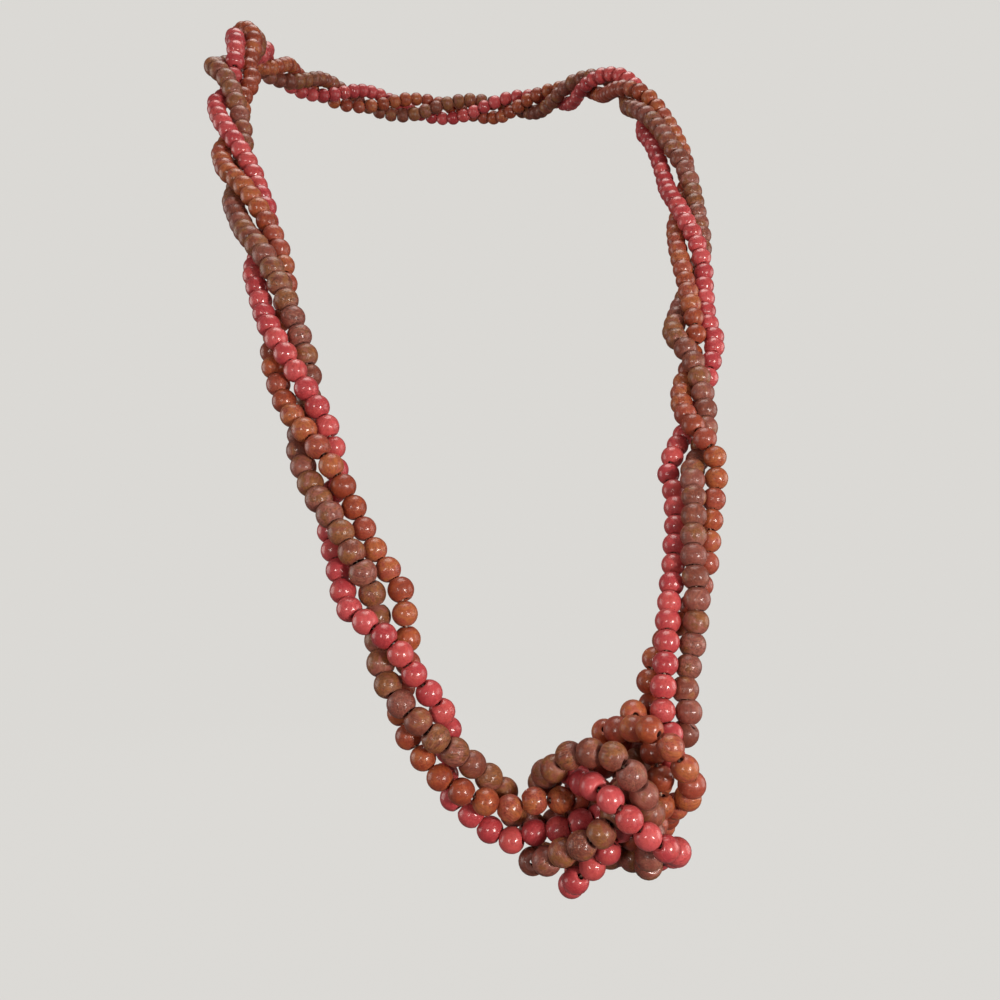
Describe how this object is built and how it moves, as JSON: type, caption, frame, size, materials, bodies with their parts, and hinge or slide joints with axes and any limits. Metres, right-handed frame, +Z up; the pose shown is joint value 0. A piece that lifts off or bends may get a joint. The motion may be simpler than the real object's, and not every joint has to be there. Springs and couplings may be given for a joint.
{
  "type": "beaded necklace",
  "caption": "Long necklace of wooden beads: three whole strings twisted into a rope, worn round a neck and tied in an overhand knot low on the chest",
  "frame": {"origin": "where the rope of beads sits against the nape of the neck, on its neck side", "axes": "+Z up, the wearer faces -Y, +X is the wearer's left"},
  "size_m": [0.1605, 0.2707, 0.2741],
  "materials": {
    "coral_wood": "glossy coral-pink lacquer on turned wood",
    "orange_wood": "satin orange to rust stain and lacquer on turned wood",
    "brown_wood": "satin mauve-brown to taupe stain on turned wood"
  },
  "bodies": {
    "root": {"coral_strand": "coral_wood", "orange_strand": "orange_wood", "brown_strand": "brown_wood"}
  },
  "joints": []
}
